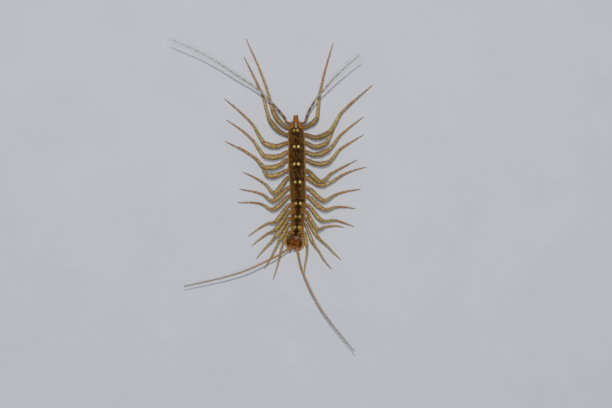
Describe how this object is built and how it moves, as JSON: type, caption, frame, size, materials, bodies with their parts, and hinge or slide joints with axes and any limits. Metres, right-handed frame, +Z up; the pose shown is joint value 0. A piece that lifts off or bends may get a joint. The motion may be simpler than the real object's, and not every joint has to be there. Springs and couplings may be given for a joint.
{
  "type": "house centipede",
  "caption": "Life-size still model of a house centipede at rest, long thin legs and feelers spread, brown plated back with paired pale spots.",
  "frame": {"origin": "on the floor, under the middle of the box around the whole animal", "axes": "+Z up from the floor, -Y the way the head points, +X the animal's left"},
  "size_m": [0.0484, 0.075, 0.0091],
  "materials": {
    "back_plate": "dark brown horn-like back plates with paler flanks, low sheen",
    "tail_cone": "translucent orange horn-like cone, low sheen",
    "head_capsule": "smooth orange-brown horn-like capsule, soft gloss",
    "eye": "glossy purple-black compound eye",
    "claw": "orange horn-like claw with a dark tip, glossy",
    "palp": "pale, thin, finely haired",
    "antenna": "orange-brown at the root, grey towards the tip, finely ringed",
    "leg": "olive-ochre with darker edges, orange knees and brown feet, low sheen",
    "trailing_leg": "grey-brown bands fading to pale grey"
  },
  "bodies": {
    "root": {"head": "head_capsule", "eye_left": "eye", "antenna_left": "antenna", "forcipule_left": "claw", "palp_left": "palp", "eye_right": "eye", "antenna_right": "antenna", "forcipule_right": "claw", "palp_right": "palp", "trunk_1": "back_plate", "trunk_2": "back_plate", "trunk_3": "back_plate", "trunk_4": "back_plate", "trunk_5": "back_plate", "trunk_6": "back_plate", "trunk_7": "back_plate", "trunk_8": "back_plate", "tail": "tail_cone", "leg_left_01": "leg", "leg_left_02": "leg", "leg_left_03": "leg", "leg_left_04": "leg", "leg_left_05": "leg", "leg_left_06": "leg", "leg_left_07": "leg", "leg_left_08": "leg", "leg_left_09": "leg", "leg_left_10": "leg", "leg_left_11": "leg", "leg_left_12": "leg", "leg_left_13": "leg", "leg_left_14": "leg", "leg_left_15": "trailing_leg", "leg_right_01": "leg", "leg_right_02": "leg", "leg_right_03": "leg", "leg_right_04": "leg", "leg_right_05": "leg", "leg_right_06": "leg", "leg_right_07": "leg", "leg_right_08": "leg", "leg_right_09": "leg", "leg_right_10": "leg", "leg_right_11": "leg", "leg_right_12": "leg", "leg_right_13": "leg", "leg_right_14": "leg", "leg_right_15": "trailing_leg"}
  },
  "joints": []
}
